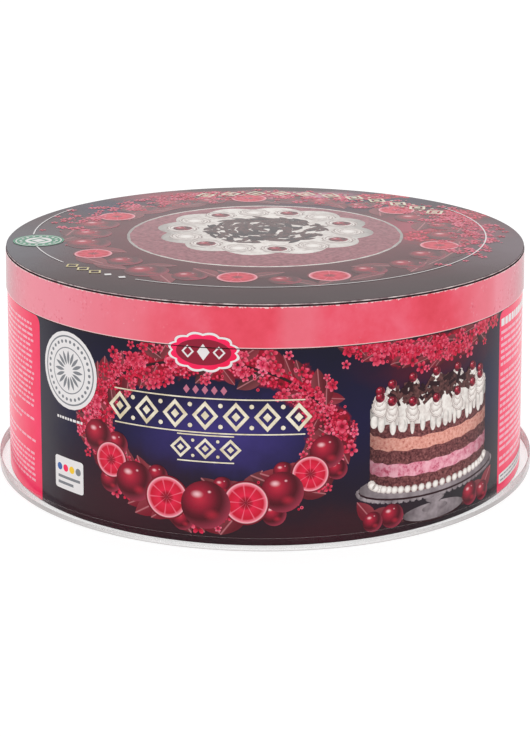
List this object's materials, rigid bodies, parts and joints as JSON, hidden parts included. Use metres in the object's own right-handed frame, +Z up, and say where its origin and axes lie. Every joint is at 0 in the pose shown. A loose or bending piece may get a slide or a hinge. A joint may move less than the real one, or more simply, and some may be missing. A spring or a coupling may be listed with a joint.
{
  "type": "round cake box",
  "caption": "Shut round card box for a cake: a printed drum with a shallow flat lid, standing in a low clear plastic tray.",
  "frame": {"origin": "middle of the tray's underside, where the box stands", "axes": "+Z up along the box's own axis, -Y towards the front of the printed wall"},
  "size_m": [0.199, 0.199, 0.0821],
  "materials": {
    "clear_tray": "clear thermoformed sheet, glossy",
    "wall_card": "printed and gloss laminated",
    "band_card": "printed pink and gloss laminated",
    "disc_card": "printed and gloss laminated"
  },
  "bodies": {
    "root": {"base_tray": "clear_tray", "box_wall": "wall_card", "lid_band": "band_card", "top_disc": "disc_card"}
  },
  "joints": []
}
